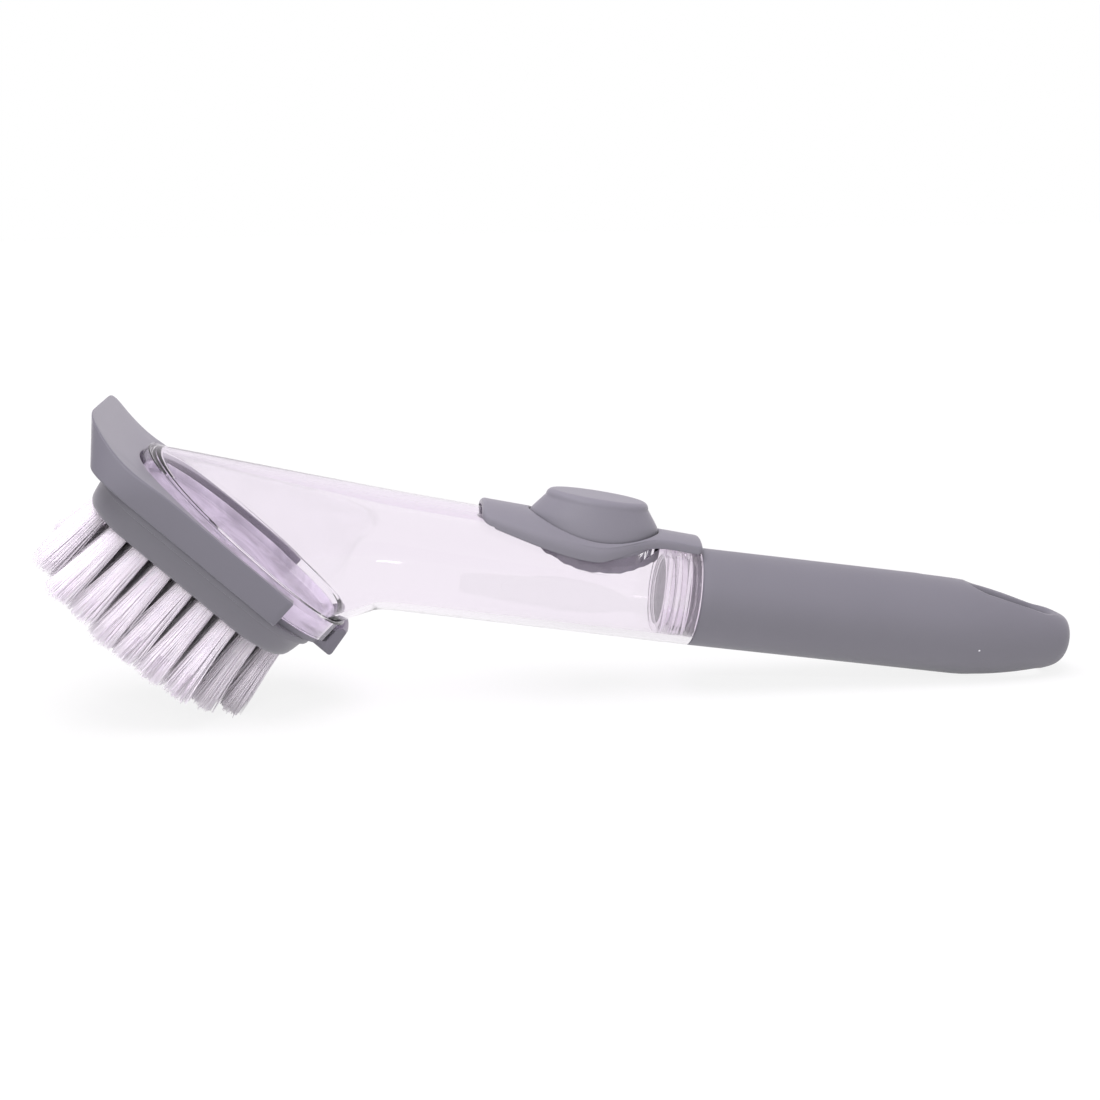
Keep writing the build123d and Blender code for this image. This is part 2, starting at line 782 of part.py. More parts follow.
def strand_solid(root, tip):
    """One straight strand that starts inside the slice and ends square at its tip."""
    root_x, root_z = head_point(root[0], root[2])
    tip_x, tip_z = head_point(tip[0], tip[2])
    way = Vector(tip_x - root_x, tip[1] - root[1], tip_z - root_z)
    sunk = slice_thickness / 2
    start = Vector(root_x, root[1], root_z) - way.normalized() * sunk
    plane = laid(Plane(start, way.cross(Vector(0, 1, 0)), way))
    return extrude(plane * RegularPolygon(strand_radius, strand_sides), amount=way.length + sunk)


# Bristles: straight tufts fused to the thin slice of the block that they are rooted in
strand_solids = [strand_solid(root, tip) for root, tip in strands]
with BuildPart() as bristles:
    with BuildSketch(head_plane(-block_depth)) as slice_plan:
        block_outline(-slice_inset - staple_gap)
        fillet(slice_plan.vertices().group_by(Axis.X)[-1], block_rear_corner - slice_inset - staple_gap)
        with Locations((outlet_place, 0)):
            Circle(soap_channel_radius, mode=Mode.SUBTRACT)
    extrude(amount=slice_thickness)
    add(strand_solids)
bristles.part.label = "bristles"
export_step(bristles.part, "parts/bristles.step")
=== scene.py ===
"""Dish wand: a clear soap reservoir with a pump button, a soft grey grip and a brush head."""

import bmesh
import bpy
import numpy as np
from mathutils import Matrix, Vector


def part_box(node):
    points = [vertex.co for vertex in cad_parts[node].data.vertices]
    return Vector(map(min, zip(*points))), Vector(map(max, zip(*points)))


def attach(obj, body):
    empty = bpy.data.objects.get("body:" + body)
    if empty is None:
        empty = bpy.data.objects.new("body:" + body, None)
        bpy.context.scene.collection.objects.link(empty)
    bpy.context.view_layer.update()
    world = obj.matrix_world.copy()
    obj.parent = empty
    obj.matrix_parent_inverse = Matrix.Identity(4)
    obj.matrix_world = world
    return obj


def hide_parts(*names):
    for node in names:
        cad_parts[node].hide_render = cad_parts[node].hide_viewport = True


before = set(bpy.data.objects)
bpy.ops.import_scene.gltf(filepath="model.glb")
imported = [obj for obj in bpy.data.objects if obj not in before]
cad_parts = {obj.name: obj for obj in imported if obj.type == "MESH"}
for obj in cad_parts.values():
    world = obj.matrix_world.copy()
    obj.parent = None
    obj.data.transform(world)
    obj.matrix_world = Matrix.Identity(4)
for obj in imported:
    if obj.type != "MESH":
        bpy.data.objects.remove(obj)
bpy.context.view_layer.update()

# The wand on its floor, photographed from the side and a little above.
# The camera is 430 mm from the grip's front edge and turned with the wand, so the picture is framed
# as in the photograph.
mm = 0.001
lie_angle = np.radians(8.7161737)
lie_place = (30.4513220, 24.2083480)


def wand(x, y, z):
    """Laid point in metres from the wand's own mm, turned by its lying angle a about Y:
    X = x cos a + z sin a + X0, Y = y, Z = z cos a - x sin a + Z0."""
    x, y, z = np.broadcast_arrays(x, y, z)
    across = x * np.cos(lie_angle) + z * np.sin(lie_angle) + lie_place[0]
    height = z * np.cos(lie_angle) - x * np.sin(lie_angle) + lie_place[1]
    return np.stack([across, y, height], axis=-1) * mm


def show(name, data):
    """New object that holds this mesh, lamp or camera, at the origin."""
    shown = bpy.data.objects.new(name, data)
    bpy.context.scene.collection.objects.link(shown)
    return shown


view_turn, view_drop, view_distance = np.radians(6.0), np.radians(13.0), 430.0
picture_size, grip_pixel, pixels_per_mm = 1100, (691.5, 596.0), 3.85
photo_tilt, sensor_width = np.radians(8.0), 36.0
ahead = np.array([np.sin(view_turn), np.cos(view_turn), 0.0]) * np.cos(view_drop)
ahead[2] = -np.sin(view_drop)
right = np.array([np.cos(view_turn), -np.sin(view_turn), 0.0])
above = np.cross(right, ahead)
spare_tilt = lie_angle - photo_tilt
tilt = np.array(
    [
        [np.cos(spare_tilt), 0.0, np.sin(spare_tilt)],
        [0.0, 1.0, 0.0],
        [-np.sin(spare_tilt), 0.0, np.cos(spare_tilt)],
    ]
)
ahead, right, above = tilt @ ahead, tilt @ right, tilt @ above
focal_pixels = pixels_per_mm * view_distance
shift_right = (grip_pixel[0] - picture_size / 2) / pixels_per_mm
shift_down = (grip_pixel[1] - picture_size / 2) / pixels_per_mm
eye = np.array([lie_place[0], 0.0, lie_place[1]])
eye = eye - ahead * view_distance - right * shift_right + above * shift_down

camera = show("camera", bpy.data.cameras.new("camera"))
camera.data.sensor_width = sensor_width
camera.data.lens = sensor_width * focal_pixels / picture_size
camera.data.clip_start = 0.01
camera.data.clip_end = 20.0
turned = Matrix([[right[i], above[i], -ahead[i]] for i in range(3)]).to_4x4()
camera.matrix_world = Matrix.Translation(Vector(eye * mm)) @ turned
bpy.context.scene.camera = camera
bpy.context.scene.view_settings.view_transform = "Standard"

# Clear reservoir: barrel and flared head, one hollow moulding in clear plastic, 2 mm thick.
# The barrel swells a little to the front, and its head leads from the round neck to an oval foot.
# The filler port is cut through its top under the button.
merge_reach, sliver_reach = 2e-6, 1e-7


def dress(mesh, material, sharp):
    """One material, smooth faces, and edges kept sharp where they turn by more than an angle."""
    mesh.materials.clear()
    mesh.materials.append(material)
    mesh.polygons.foreach_set("material_index", np.zeros(len(mesh.polygons), np.int32))
    mesh.polygons.foreach_set("use_smooth", np.ones(len(mesh.polygons), bool))
    mesh.set_sharp_from_angle(angle=np.radians(sharp))


def build(name, sheets, material, sharp=35.0):
    """Piece from grids of points: neighbours make quads, a ring closes columns and a loop rows.
    Equal points merge, so a row of one repeated point is a closed pole. Faces point outwards."""
    points, quads, start = [], [], 0
    for grid, ring, loop in sheets:
        rows, columns = grid.shape[:2]
        index = np.arange(rows * columns).reshape(rows, columns) + start
        if ring:
            index = np.column_stack([index, index[:, :1]])
        if loop:
            index = np.vstack([index, index[:1]])
        corners = [index[:-1, :-1], index[1:, :-1], index[1:, 1:], index[:-1, 1:]]
        quads.append(np.stack(corners, axis=-1).reshape(-1, 4))
        points.append(grid.reshape(-1, 3))
        start += rows * columns
    mesh = bpy.data.meshes.new(name)
    mesh.from_pydata(np.concatenate(points).tolist(), [], np.concatenate(quads).tolist())
    shape = bmesh.new()
    shape.from_mesh(mesh)
    bmesh.ops.remove_doubles(shape, verts=shape.verts, dist=merge_reach)
    bmesh.ops.dissolve_degenerate(shape, edges=shape.edges, dist=sliver_reach)
    bmesh.ops.recalc_face_normals(shape, faces=shape.faces)
    shape.to_mesh(mesh)
    shape.free()
    dress(mesh, material, sharp)
    return show(name, mesh)


def cut(piece, cutter, sharp):
    """Takes the cutter's volume out of the piece and drops the cutter."""
    gap = piece.modifiers.new("gap", "BOOLEAN")
    gap.operation, gap.solver, gap.object = "DIFFERENCE", "EXACT", cutter
    graph = bpy.context.evaluated_depsgraph_get()
    mesh = bpy.data.meshes.new_from_object(piece.evaluated_get(graph))
    piece.modifiers.clear()
    material = piece.data.materials[0]
    piece.data = mesh
    dress(mesh, material, sharp)
    bpy.data.objects.remove(cutter)


def set_values(node, values):
    """Writes values on a node's own sockets."""
    for socket, value in values.items():
        node.inputs[socket].default_value = value
    return node


def add(tree, kind, values=None, **settings):
    """New node of a kind in a tree, with its settings and then its sockets' values."""
    node = tree.nodes.new("ShaderNode" + kind)
    for setting, value in settings.items():
        setattr(node, setting, value)
    return set_values(node, values or {})


def wire(tree, *links):
    """Links sockets, each given as node, output, node, input."""
    for source, output, target, socket in links:
        tree.links.new(source.outputs[output], target.inputs[socket])


def any_ray(tree, first, *others):
    """Node that gives 1 for rays of these kinds and 0 for the rest: the greatest of their flags."""
    rays = add(tree, "LightPath")
    source, output = rays, first
    for other in others:
        either = add(tree, "Math", operation="MAXIMUM")
        wire(tree, (source, output, either, 0), (rays, other, either, 1))
        source, output = either, "Value"
    return source


def new_material(name):
    """Empty material with its node tree and its main shader."""
    material = bpy.data.materials.new(name)
    material.use_nodes = True
    return material, material.node_tree, material.node_tree.nodes["Principled BSDF"]


def clear_plastic(name, colour, roughness, wave_height):
    """Clear moulded plastic: glass with a faint wave in its skin, and light passes straight in."""
    material, tree, shader = new_material(name)
    set_values(shader, {"Base Color": (*colour, 1.0), "Roughness": roughness})
    set_values(shader, {"IOR": 1.49, "Transmission Weight": 1.0})
    place = add(tree, "TexCoord")
    wave = add(tree, "TexNoise", {"Scale": 30.0, "Detail": 1.0})
    bump = add(tree, "Bump", {"Strength": 0.5, "Distance": wave_height})
    passed = add(tree, "BsdfTransparent", {"Color": (*colour, 1.0)})
    skin_or_light = add(tree, "MixShader")
    wire(
        tree,
        (place, "Object", wave, "Vector"),
        (wave, "Fac", bump, "Height"),
        (bump, "Normal", shader, "Normal"),
        (any_ray(tree, "Is Shadow Ray", "Is Diffuse Ray"), "Value", skin_or_light, "Fac"),
        (shader, "BSDF", skin_or_light, 1),
        (passed, "BSDF", skin_or_light, 2),
        (skin_or_light, "Shader", tree.nodes["Material Output"], "Surface"),
    )
    return material


barrel_length, barrel_rear_radius, barrel_front_radius = 80.0, 13.2, 15.1
barrel_rear_rise, barrel_front_rise, barrel_wall, barrel_rear = 0.5, 3.3, 2.0, -0.3
head_reach, head_drop, head_angle = 122.3, 1.0, np.radians(35.0)
front_fullness, rear_fullness = 2.2, 2.6
skirt_middle, skirt_half_length, skirt_half_width = 4.0, 32.5, 23.2
collar_lift, collar_slope, collar_step, skirt_lift = 8.5, np.radians(1.5), 0.8, 2.0
barrel_rows, neck_rows, ease_rounds = 60, 56, 30
barrel_ease_start, barrel_ease_run, neck_ease_end, neck_ease_run = 66.0, 10.0, 0.85, 0.35
ring_columns = 192
ring_turns = np.linspace(0, 2 * np.pi, ring_columns, endpoint=False)


def barrel_radius(x):
    """Straight taper from the rear radius at x = 0 to the front radius."""
    return barrel_rear_radius + (barrel_rear_radius - barrel_front_radius) * x / barrel_length


def barrel_rise(x):
    """Height of the barrel's axis above the grip's axis, straight from rear to front."""
    return barrel_rear_rise + (barrel_rear_rise - barrel_front_rise) * x / barrel_length


def head_frame(u, v):
    """Own x and z of the head's u, back and down along it, and v, up to the soap, at 35 degrees:
    x = u cos 35 + v sin 35 - reach, z = v cos 35 - u sin 35 - drop."""
    x = -head_reach + u * np.cos(head_angle) + v * np.sin(head_angle)
    z = -head_drop - u * np.sin(head_angle) + v * np.cos(head_angle)
    return x, z


def head(u, y, v):
    """Laid point of the head at u along it, y across and v up."""
    x, z = head_frame(u, v)
    return wand(x, y, z)


def oval(half_length, half_width, roundness, turns):
    """Across and forward: L sin t forward and W (k |cos t| + (1 - k) (1 - |sin t|^n)^(1/n)) across,
    with the fullness n of the front where sin t > 0 and of the rear elsewhere."""
    place = np.sin(turns)
    fullness = np.where(place > 0, front_fullness, rear_fullness)
    width = (1 - np.minimum(np.abs(place), 1.0) ** fullness) ** (1 / fullness)
    width = roundness * np.abs(np.cos(turns)) + (1 - roundness) * width
    return np.sign(np.cos(turns)) * half_width * width, half_length * place


def reservoir_skin(growth):
    """Rows of the skin from grip to foot, in own mm: circles along the barrel, ovals that turn from
    the neck to the collar, and the skirt, each row eased towards the middle of its neighbours."""
    rows, ease = [], []
    for x in np.linspace(barrel_rear, -barrel_length, barrel_rows):
        radius = barrel_radius(x) + growth
        z = barrel_rise(x) + radius * np.sin(ring_turns)
        rows.append(np.stack([np.full_like(z, x), radius * np.cos(ring_turns), z], axis=-1))
        ease.append(np.clip((-x - barrel_ease_start) / barrel_ease_run, 0, 1))
    turn = head_angle + collar_slope
    collar_x, collar_z = head_frame(skirt_middle, collar_lift)
    half_length = skirt_half_length - collar_step + growth
    half_width = skirt_half_width - collar_step + growth
    neck = barrel_front_radius + growth
    for share in np.linspace(0, 1, neck_rows)[1:]:
        x = -barrel_length + share * (collar_x + barrel_length)
        z = barrel_front_rise + share * (collar_z - barrel_front_rise)
        back = -share * half_length * np.cos(turn)
        up = (1 - share) * neck + share * half_length * np.sin(turn)
        long_half = np.hypot(back, up)
        wide_half = neck + share * (half_width - neck)
        across, forward = oval(long_half, wide_half, neck * (1 - share) / wide_half, ring_turns)
        forward = forward / long_half
        rows.append(np.stack([x + forward * back, across, z + forward * up], axis=-1))
        ease.append(np.clip((neck_ease_end - share) / neck_ease_run, 0, 1))
    for step, lift, slope in (
        (0.55, collar_lift, turn),
        (collar_step, collar_lift - 0.25, turn),
        (collar_step, 5.5, head_angle),
        (collar_step, skirt_lift, head_angle),
    ):
        across, forward = oval(half_length + step, half_width + step, 0, ring_turns)
        x, z = head_frame(skirt_middle, lift)
        x, z = x - forward * np.cos(slope), z + forward * np.sin(slope)
        rows.append(np.stack([x, across, z], axis=-1))
        ease.append(0.0)
    rows, ease = np.array(rows), np.array(ease)[:, None, None]
    for _ in range(ease_rounds):
        rows[1:-1] += ease[1:-1] * 0.5 * ((rows[2:] + rows[:-2]) / 2 - rows[1:-1])
    return rows


clear = clear_plastic(
    "clear_plastic", colour=(0.935, 0.905, 0.942), roughness=0.02, wave_height=0.0001
)
skin = np.concatenate([reservoir_skin(0.0), reservoir_skin(-barrel_wall)[::-1]])
skin = wand(skin[..., 0], skin[..., 1], skin[..., 2])
reservoir = build("reservoir", [(skin, True, True)], clear, 40.0)

button_place, button_half_length, button_half_width = 28.9, 16.8, 10.0
port_growth, port_low, port_high = 1.5, 4.0, 24.0
barrel_angle = np.arctan((barrel_front_rise - barrel_rear_rise) / barrel_length)


def on_barrel(a, y, h):
    """Point at a along the barrel from the button's middle, y across and h above the barrel's axis:
    x = a cos b + h sin b - place, z = h cos b - a sin b + rise, with b the barrel's slope."""
    x = -button_place + a * np.cos(barrel_angle) + h * np.sin(barrel_angle)
    z = barrel_rise(-button_place) - a * np.sin(barrel_angle) + h * np.cos(barrel_angle)
    return wand(x, y, z)


def saddle_height(a, y, growth):
    """Height of the barrel's skin above its axis: sqrt((R(a) + growth)^2 - y^2)."""
    radius = barrel_radius(a - button_place) + growth
    return np.sqrt(np.maximum(radius**2 - y**2, 0.01))


def button_oval(growth):
    """Along and across of the button's oval outline, grown evenly: a = L cos t, y = W sin t."""
    a = (button_half_length + growth) * np.cos(ring_turns)
    return a, (button_half_width + growth) * np.sin(ring_turns)


port_a, port_y = button_oval(port_growth)
port_rows = [
    on_barrel(grow * port_a, grow * port_y, h)
    for h, grow in ((port_low, 0.0), (port_low, 1.0), (port_high, 1.0), (port_high, 0.0))
]
cut(reservoir, build("port", [(np.array(port_rows), True, False)], clear), 40.0)
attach(reservoir, "wand")
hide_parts("reservoir_body")

# Reservoir base: a milky clear plate welded into the foot, with an upright rim inside the wall.
# Its boss leads the soap down to the valve, and swirls of the milky plastic veil what lies below.
base_lift, base_thickness, base_rim_height, base_rim_thickness = 2.0, 1.6, 4.0, 1.2
boss_radius, throat_radius, valve_radius, valve_seat, boss_foot = 7.0, 3.2, 5.0, 1.0, -2.4
rim_out, rim_in = -barrel_wall - 0.05, -barrel_wall - 0.05 - base_rim_thickness
base_floor, rim_top = base_lift + base_thickness, base_lift + base_rim_height
milk_white = (0.90, 0.88, 0.93, 1.0)


def base_ring(growth, v):
    """Ring of the foot's outline, grown, at height v."""
    across, forward = oval(skirt_half_length + growth, skirt_half_width + growth, 0, ring_turns)
    return head(skirt_middle - forward, across, v)


def boss_ring(radius, v):
    """Round ring about the outlet at height v."""
    return head(-radius * np.sin(ring_turns), radius * np.cos(ring_turns), v)


base_rows = [
    boss_ring(boss_radius, boss_foot),
    boss_ring(boss_radius, base_lift),
    base_ring(rim_out - 0.2, base_lift),
    base_ring(rim_out, base_lift + 0.2),
    base_ring(rim_out, rim_top - 0.4),
    base_ring(rim_out - 0.15, rim_top - 0.1),
    base_ring((rim_out + rim_in) / 2, rim_top),
    base_ring(rim_in + 0.15, rim_top - 0.1),
    base_ring(rim_in, rim_top - 0.4),
    base_ring(rim_in, base_floor + 0.5),
    base_ring(rim_in - 0.5, base_floor),
    boss_ring(throat_radius, base_floor),
    boss_ring(throat_radius, valve_seat),
    boss_ring(valve_radius, valve_seat),
    boss_ring(valve_radius, boss_foot),
]
milky = clear_plastic(
    "milky_plastic", colour=(0.90, 0.86, 0.93), roughness=0.25, wave_height=0.0003
)
tree = milky.node_tree
place = add(tree, "TexCoord")
swirl = add(tree, "TexNoise", {"Scale": 70.0, "Distortion": 1.5})
milk = add(
    tree, "MapRange", {"From Min": 0.35, "From Max": 0.65, "To Min": 0.45, "To Max": 0.95}
)
haze = add(tree, "BsdfTranslucent", {"Color": milk_white})
chalk = add(tree, "BsdfDiffuse", {"Color": milk_white})
veil = add(tree, "MixShader", {"Fac": 0.5})
blend = add(tree, "MixShader")
wire(
    tree,
    (place, "Object", swirl, "Vector"),
    (swirl, "Fac", milk, "Value"),
    (haze, "BSDF", veil, 1),
    (chalk, "BSDF", veil, 2),
    (milk, "Result", blend, "Fac"),
    (tree.nodes["Principled BSDF"], "BSDF", blend, 1),
    (veil, "Shader", blend, 2),
    (blend, "Shader", tree.nodes["Material Output"], "Surface"),
)
base = build("reservoir_foot", [(np.array(base_rows), True, True)], milky, 40.0)
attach(base, "wand")
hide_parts("reservoir_base")


# Clear pieces that stay as they are drawn: the ribbed rear plug, its seal, and the ring that holds
# the valve up. All three are as clear as the reservoir that they are pressed into.
def refinish(node, material):
    """Gives a CAD piece that stays a new material."""
    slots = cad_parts[node].data.materials
    slots.clear()
    slots.append(material)


refinish("rear_plug", clear)
refinish("plug_seal", clear)
refinish("valve_retainer", clear)


# Soft grip: grey rubber moulded over a stiff core, with a fine grain and a little dust on it.
# Its tail is swept up, has a sloping flat on top, and a soft-edged hanging slot runs through it.
def soft_rubber(name, colour, roughness, speck_height=0.62):
    """Matt grey rubber: fine grain, slow change of tone, and sparse pale specks of dust."""
    material, tree, shader = new_material(name)
    set_values(shader, {"Roughness": roughness, "Specular IOR Level": 0.5})
    set_values(shader, {"Sheen Weight": 0.2, "Sheen Roughness": 0.5})
    dark, light = [0.93 * c for c in colour], [1.07 * c for c in colour]
    place = add(tree, "TexCoord")
    tone = add(tree, "TexNoise", {"Scale": 35.0, "Detail": 3.0})
    grain = add(tree, "TexNoise", {"Scale": 2600.0, "Detail": 2.0})
    dust = add(tree, "TexVoronoi", {"Scale": 160.0, "Randomness": 1.0})
    patch = add(tree, "TexNoise", {"Scale": 90.0, "Detail": 0.0})
    tint = add(tree, "Mix", {"A": (*dark, 1.0), "B": (*light, 1.0)}, data_type="RGBA")
    near = add(tree, "Math", {1: 0.055}, operation="LESS_THAN")
    here = add(tree, "Math", {1: speck_height}, operation="GREATER_THAN")
    speck = add(tree, "Math", operation="MULTIPLY")
    dusted = add(tree, "Mix", {"B": (0.75, 0.75, 0.76, 1.0)}, data_type="RGBA")
    bump = add(tree, "Bump", {"Strength": 0.25, "Distance": 0.00005})
    wire(
        tree,
        *((place, "Object", texture, "Vector") for texture in (tone, grain, dust, patch)),
        (tone, "Fac", tint, "Factor"),
        (dust, "Distance", near, 0),
        (patch, "Fac", here, 0),
        (near, "Value", speck, 0),
        (here, "Value", speck, 1),
        (tint, "Result", dusted, "A"),
        (speck, "Value", dusted, "Factor"),
        (dusted, "Result", shader, "Base Color"),
        (grain, "Fac", bump, "Height"),
        (bump, "Normal", shader, "Normal"),
    )
    return material


grip_grey = soft_rubber("grip_rubber", colour=(0.138, 0.136, 0.155), roughness=0.55)
grip_length, grip_radius = 102.7, 12.7
tail_start, tail_corner_length, tail_corner_height = 70.0, 1.6, 7.2
facet_from, facet_start, facet_end_height, facet_blend = 60.0, 74.0, 6.1, 1.2
slot_length, slot_width, slot_margin = 22.0, 8.5, 6.5
slot_rim_below, slot_rim_above, slot_rim_sweep = 1.5, 2.6, np.radians(78)
cutter_step, cutter_height = 2.2, 20.0
sweep_rows, end_rows, straight_rows, loop_rows = 60, 24, 40, 40
corner_reach, corner_rounds = 4.0, 60
lip = [[0.0, 0.0], [0.0, grip_radius - 0.5], [0.15, grip_radius - 0.15], [0.5, grip_radius]]


def grip_profile():
    """Radius along the grip: straight, an arc down to the corner, a rounded corner, an end arc.
    An arc of height f over a run r has the radius (r^2 + f^2) / 2f."""
    run, fall = grip_length - tail_corner_length - tail_start, grip_radius - tail_corner_height
    sweep = (run**2 + fall**2) / (2 * fall)
    x = np.linspace(0, run, sweep_rows)
    side = np.stack([tail_start + x, grip_radius - sweep + np.sqrt(sweep**2 - x**2)], axis=-1)
    bulge = (tail_corner_length**2 + tail_corner_height**2) / (2 * tail_corner_length)
    r = np.linspace(tail_corner_height, 0, end_rows)
    end = np.stack([grip_length - bulge + np.sqrt(bulge**2 - r**2), r], axis=-1)
    line = np.concatenate([side, end[1:]])
    for _ in range(corner_rounds):
        near = np.exp(-(((line[1:-1, 0] - grip_length) / corner_reach) ** 2))[:, None]
        line[1:-1] += near * 0.5 * ((line[2:] + line[:-2]) / 2 - line[1:-1])
    x = np.linspace(2, tail_start, straight_rows)[:-1]
    straight = np.stack([x, np.full_like(x, grip_radius)], axis=-1)
    return np.concatenate([np.array(lip), straight, line])


def facet_height(x):
    """Sloping flat over the tail's top: a straight line down to its height at the grip's end."""
    slope = (grip_radius - facet_end_height) / (grip_length - facet_start)
    return grip_radius - slope * (x - facet_start)


def soft_min(a, b, blend):
    """The smaller of two heights with a rounded edge: (a + b - sqrt((a - b)^2 + k^2)) / 2."""
    return (a + b - np.sqrt((a - b) ** 2 + blend**2)) / 2


profile = grip_profile()
grip_x = np.repeat(profile[:, :1], ring_columns, axis=1)
grip_y = profile[:, 1:] * np.cos(ring_turns)
grip_z = profile[:, 1:] * np.sin(ring_turns)
faceted = soft_min(grip_z, facet_height(grip_x), facet_blend)
grip_z = np.where(grip_x > facet_from, faceted, grip_z)
grip = build("grip", [(wand(grip_x, grip_y, grip_z), True, False)], grip_grey, 50.0)

slot_middle = grip_length - slot_margin - slot_length / 2
tail_x = np.linspace(facet_from, 103, 200)
tail_radius = np.interp(tail_x, profile[len(lip) :, 0], profile[len(lip) :, 1])


def slot_ring(grow):
    """Long round-ended loop about the slot's middle, grown evenly: two half circles set apart."""
    half, radius = (slot_length - slot_width) / 2, slot_width / 2 + grow
    rear = np.linspace(-np.pi / 2, np.pi / 2, loop_rows)
    front = np.linspace(np.pi / 2, 3 * np.pi / 2, loop_rows)
    turns = np.concatenate([rear, front])
    return np.repeat([half, -half], loop_rows) + radius * np.cos(turns), radius * np.sin(turns)


def slot_rows(side, rim_radius):
    """Cutter from the skin's rounded rim outwards, below (-1) or above (1): the rim turns through
    78 degrees of a circle, then steps out and away."""
    rows = []
    for turn in np.linspace(0, slot_rim_sweep, 9):
        grow, depth = rim_radius * (1 - np.cos(turn)), rim_radius * (1 - np.sin(turn))
        x, y = slot_ring(grow)
        x = x + slot_middle
        skin_z = np.sqrt(np.maximum(np.interp(x, tail_x, tail_radius) ** 2 - y**2, 0.1))
        if side > 0:
            skin_z = soft_min(skin_z, facet_height(x), facet_blend)
        rows.append(wand(x, y, side * (skin_z - depth)))
    x, y = slot_ring(rim_radius * (1 - np.cos(slot_rim_sweep)) + cutter_step)
    for size, height in ((1, skin_z + 1.0), (1, cutter_height), (0, cutter_height)):
        rows.append(wand(x * size + slot_middle, y * size, side * height))
    return rows


slot_cutter = slot_rows(-1, slot_rim_below)[::-1] + slot_rows(1, slot_rim_above)
cut(grip, build("slot", [(np.array(slot_cutter), True, False)], grip_grey), 50.0)
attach(grip, "wand")
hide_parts("grip_sleeve", "grip_core")

# Filler cap: a grey rubber saddle that lies on the barrel, with a blunt pull tab in front.
# Its well takes the button, and its plug skirt, ragged from the mould, seals the port.
cap_grey = soft_rubber("cap_rubber", colour=(0.162, 0.158, 0.180), roughness=0.48)
cap_front, cap_rear, tab_half_width, cap_half_width = -29.1, 28.1, 8.8, 12.4
neck_half_width, neck_start, cap_corner, cap_rear_corner = 6.5, 19.5, 3.0, 1.0
well_gap, cap_gap, cap_top = 0.3, 0.2, 2.1
well_edge, outer_edge, lower_edge = 0.5, 0.95, 0.4
tab_length, tab_lift, tab_skin = 3.6, 0.7, 0.6
plug_hang, rag_hang = 0.6, 0.3


def eased(x, knots, values, slopes):
    """Cubic Hermite curve through the knots with the given slopes."""
    knots, values, slopes = map(np.asarray, (knots, values, slopes))
    i = np.clip(np.searchsorted(knots, x) - 1, 0, len(knots) - 2)
    width = knots[i + 1] - knots[i]
    t = np.clip((x - knots[i]) / width, 0, 1)
    low = (1 + 2 * t) * (1 - t) ** 2 * values[i] + t * (1 - t) ** 2 * width * slopes[i]
    return low + t**2 * (3 - 2 * t) * values[i + 1] - t**2 * (1 - t) * width * slopes[i + 1]


def cap_plan():
    """Closed outline of the saddle from the rear, by its near side, to the tab and back."""
    a = np.linspace(cap_rear - cap_rear_corner, cap_front + cap_corner, 110)
    width = eased(
        a,
        (cap_front, 0.0, neck_start, cap_rear),
        (tab_half_width, cap_half_width, neck_half_width, neck_half_width),
        (0.25, -0.02, -0.05, 0),
    )
    turns = np.linspace(0, np.pi / 2, 12)[1:]
    corner_a = cap_front + cap_corner * (1 - np.sin(turns))
    corner_y = width[-1] - cap_corner * (1 - np.cos(turns))
    rear_a = cap_rear - cap_rear_corner + np.sin(turns[::-1])
    rear_y = width[0] - cap_rear_corner + np.cos(turns[::-1])
    rear_line = np.linspace(0, rear_y[0], 7)[:-1]
    front_line = np.linspace(corner_y[-1], 0, 7)[1:]
    half_a = np.concatenate([[cap_rear] * 6, rear_a, a, corner_a, [cap_front] * 6])
    half_y = np.concatenate([rear_line, rear_y, width, corner_y, front_line])
    return np.concatenate([half_a, half_a[-2:0:-1]]), np.concatenate([half_y, -half_y[-2:0:-1]])


plan_a, plan_y = cap_plan()
plan_turn = np.arctan2(plan_y / button_half_width, plan_a / button_half_length)


def cap_row(share, inset, growth):
    """Ring between the well (share 0) and the outline (share 1), drawn in by an inset, at a growth.
    The underside of the tab's front is lifted, so that a finger gets under it."""
    well_a = (button_half_length + well_gap) * np.cos(plan_turn)
    well_y = (button_half_width + well_gap) * np.sin(plan_turn)
    reach = np.hypot(plan_a - well_a, plan_y - well_y)
    share = share - np.minimum(inset / reach, 0.3) * (1 if share > 0.5 else -1)
    a, y = well_a + share * (plan_a - well_a), well_y + share * (plan_y - well_y)
    tab = np.clip(cap_front + tab_length - a, 0, 1) if growth < tab_skin else 0.0
    return on_barrel(a, y, saddle_height(a, y, growth + tab_lift * tab))


def edge_rows(share, radius, growth, way):
    """Quarter circle over an edge of the cap: on its way inwards it is inset by r (1 - cos t) and
    lowered by r (1 - sin t), and on its way outwards the other way round."""
    turns = np.linspace(0, np.pi / 2, 7)
    insets, drops = radius * (1 - np.cos(turns)), radius * (1 - np.sin(turns))
    if way == "outwards":
        insets, drops = drops, insets
    return [cap_row(share, inset, growth - drop) for inset, drop in zip(insets, drops)]


cap_rows = [cap_row(0, 0, cap_gap)]
cap_rows += edge_rows(0, well_edge, cap_top, "inwards")
cap_rows += [cap_row(share, 0, cap_top) for share in (0.35, 0.6)]
cap_rows += edge_rows(1, outer_edge, cap_top, "outwards")
for turn in np.linspace(0, np.pi / 2, 7):
    inset, lift = lower_edge * (1 - np.cos(turn)), lower_edge * (1 - np.sin(turn))
    cap_rows.append(cap_row(1, inset, cap_gap + lift))
cap_rows.append(cap_row(0.5, 0, cap_gap))

